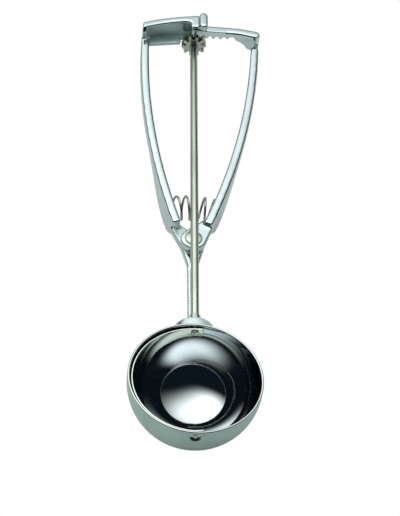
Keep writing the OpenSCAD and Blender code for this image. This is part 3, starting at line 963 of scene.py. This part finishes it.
@dataclass(frozen=True)
class Studio:
    """A pale floor under a dark sky with one large soft light, high past the handles' end.

    Attributes:
        floor_size: side of the floor, in metres.
        edges: the edges of the large light.
        light: its colour.
        shade: the sky's colour away from it.
        pale: the floor's colour round the scoop.
        far: its colour further out, a darker floor that is painted shade, which the metal
            mirrors.
        near_reach: how far the pale floor reaches, in metres.
        far_reach: where it has turned to the colour further out.
        mirrored_white: share of plain white in the near floor that the metal mirrors, a painted
            glow that only reflections see.
    """

    floor_size: float = 6.0
    edges: Tuple[SkyEdge, ...] = (
        SkyEdge((-0.25, 0.03, 0.97), 0.06, 1.12),
        SkyEdge((-0.49, 0.87, 0.00), -0.53, 0.40),
        SkyEdge((0.14, 0.67, 0.73), 0.28, 0.65),
    )
    light: Colour = (2.2, 2.3, 2.3)
    shade: Colour = (0.006, 0.011, 0.017)
    pale: Colour = (0.82, 0.89, 0.87)
    far: Colour = (0.34, 0.42, 0.41)
    near_reach: float = 0.16
    far_reach: float = 0.45
    mirrored_white: float = 0.22

    def build(self) -> None:
        """Makes the floor and the sky."""
        half = self.floor_size / 2
        mesh = bpy.data.meshes.new("floor")
        corners = [(-half, -half, 0), (half, -half, 0), (half, half, 0), (-half, half, 0)]
        mesh.from_pydata(corners, [], [(0, 1, 2, 3)])
        mesh.materials.append(self._floor_material())
        floor = bpy.data.objects.new("floor", mesh)
        bpy.context.scene.collection.objects.link(floor)
        self._sky()

    def _floor_material(self) -> bpy.types.Material:
        """White to the camera, a painted white glow in the metal near the scoop, and matt to all
        other light, with painted shade further out.
        """
        material = bpy.data.materials.new("floor")
        material.use_nodes = True
        graph = Graph(material.node_tree)
        seen = graph.node("ShaderNodeLightPath", output="Is Camera Ray")
        mirrored = Expr(graph, seen.socket.node.outputs["Is Glossy Ray"])
        place = graph.node("ShaderNodeTexCoord", output="Object")
        away = graph.node("ShaderNodeVectorMath", {"operation": "LENGTH"}, place, output="Value")
        # The floor stays pale near the scoop and turns dark further out, painted shade; near the
        # scoop it also glows a little white in the metal, painted light.
        near = 1 - away.ramp(self.near_reach, self.far_reach)
        colour = graph.mix(near, self.far, self.pale)
        matt = graph.node("ShaderNodeBsdfDiffuse", {}, colour)
        white = graph.node("ShaderNodeEmission", {}, WHITE, 1.0)
        share = (seen + mirrored * near * self.mirrored_white).clamp()
        mixed = graph.node("ShaderNodeMixShader", {}, share, matt, white)
        graph.end("ShaderNodeOutputMaterial", mixed)
        return material

    def _sky(self) -> None:
        """A large soft light in a dark room, and white to the camera."""
        world = bpy.data.worlds.new("sky")
        world.use_nodes = True
        bpy.context.scene.world = world
        graph = Graph(world.node_tree)
        way = graph.node("ShaderNodeTexCoord", output="Generated")
        lit = math.prod((edge.share(graph, way) for edge in self.edges), start=1.0)
        colour = graph.mix(lit, self.shade, self.light)
        seen = graph.node("ShaderNodeLightPath", output="Is Camera Ray")
        shown = graph.mix(seen, colour, WHITE)
        sky = graph.node("ShaderNodeBackground", {}, shown, 1.0)
        graph.end("ShaderNodeOutputWorld", sky)


# ------------------------------------------------------------------ the whole scoop


def drive_parts(bowl_r: float) -> list:
    """The parts on the rod's axis, drawn as (radius, height up the rod)."""
    strip = Scraper.outer
    pin_r, spigot_r = 1.5, 1.1
    seat, head = 23.903, 0.4  # inner face of the scraper's tabs, and the riveted heads on them

    rod_r, journal_r, shoulder, top = 1.7, 1.3, 200.45, 205.8
    rod = [(0, seat - head), (pin_r, seat - head), (pin_r, seat), (spigot_r, seat),
           (spigot_r, strip), (rod_r, strip), (rod_r, shoulder), (journal_r, shoulder),
           (journal_r, top), (0, top)]

    tip_r, tip, tip_base = 0.95, -bowl_r + 0.55, -bowl_r + 0.95
    pin = [(0, tip), (tip_r, tip), (tip_r, tip_base), (pin_r, tip_base), (pin_r, -strip),
           (spigot_r, -strip), (spigot_r, -seat), (pin_r, -seat), (pin_r, -seat + head),
           (0, -seat + head)]

    bush_r, bush_low, bush_high = 2.3, 26.3, 32.0
    bush = [(0, bush_low), (bush_r, bush_low), (bush_r, bush_high), (0, bush_high)]
    return [
        TurnedPart("drive_rod", rod, "drive"),
        TurnedPart("scraper_end_pin", pin, "drive"),
        TurnedPart("rod_bush", bush, "frame"),
    ]


def pivot_parts() -> list:
    """The rivet and the washer, drawn as (radius, height up the pivot's axis)."""
    pivot = (0, 77.5, 0)
    shank_r, foot_r, foot, upset = 2.0, 3.0, -12.0, 1.1
    shank = [(0, foot), (foot_r, foot), (foot_r, foot + upset), (shank_r, foot + upset)]

    # The head: a short straight side, a ring groove and a low dome inside it.
    front, side, dome = -3.5, 0.4, 0.45
    head_r, crown_r = 3.7, 3.3
    dome_r = (crown_r ** 2 + dome ** 2) / 2 / dome
    half = math.degrees(math.asin(crown_r / dome_r))
    head = [(shank_r, front), (head_r, front), (head_r, front + side),
            ((head_r + crown_r) / 2, front)]
    cap = arc((0, front + side + dome - dome_r), dome_r, 90 - half, 90, 12)

    washer_r, washer_low, washer_high = 5.1, -7.3, -6.9
    washer = [(0, washer_low), (washer_r, washer_low), (washer_r, washer_high), (0, washer_high)]
    return [
        TurnedPart("pivot_rivet", shank + head + cap, "frame", 0.12, PIVOT_AXIS, pivot),
        TurnedPart("pivot_washer", washer, "frame", 0.08, PIVOT_AXIS, pivot),
    ]


def main() -> None:
    """Builds every piece, the studio and the camera."""
    logging.basicConfig(level=logging.INFO, format="%(name)s: %(message)s")
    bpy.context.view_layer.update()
    low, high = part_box("bowl")
    radius = (high[0] - low[0]) / 2 / MM
    Bowl(radius).build()
    Scraper().build()
    for part in drive_parts(radius) + pivot_parts():
        part.build()
    ReturnSpring(left=(-10.925, 97.5, -8.1), right=(10.619, 97.5, -8.1)).build()
    pocket = Region((-23.0, 194.0, -9.0), (-2.0, 206.0, 10.0))
    foot = Region((-12.0, 20.0, -12.0), (12.0, 31.0, 12.0))
    teeth = Region((-6.0, 190.0, -3.0), (14.0, 199.5, 12.0))
    hub = Region((-12.0, 72.0, -8.5), (-1.0, 90.0, -3.1))
    arms = Region((-60.0, 84.0, -40.0), (60.0, 197.0, 40.0), fade=16.0)
    # The pocket, foot and hub take the pale matt finish: a rougher finish, with painted light
    # that makes them lighter than the light reaching them.
    Casting("fixed_handle", "frame", matt=(pocket, foot, hub), full=(arms,)).build()
    Casting("squeeze_lever", "lever", crisp=(teeth,), full=(arms,)).build()
    Casting("pinion", "drive", "nickel", NICKEL, grid=0.13, passes=4).build()
    Studio().build()
    Viewpoint().build()
    bpy.context.scene.view_settings.view_transform = "Standard"


if __name__ == "__main__":
    main()
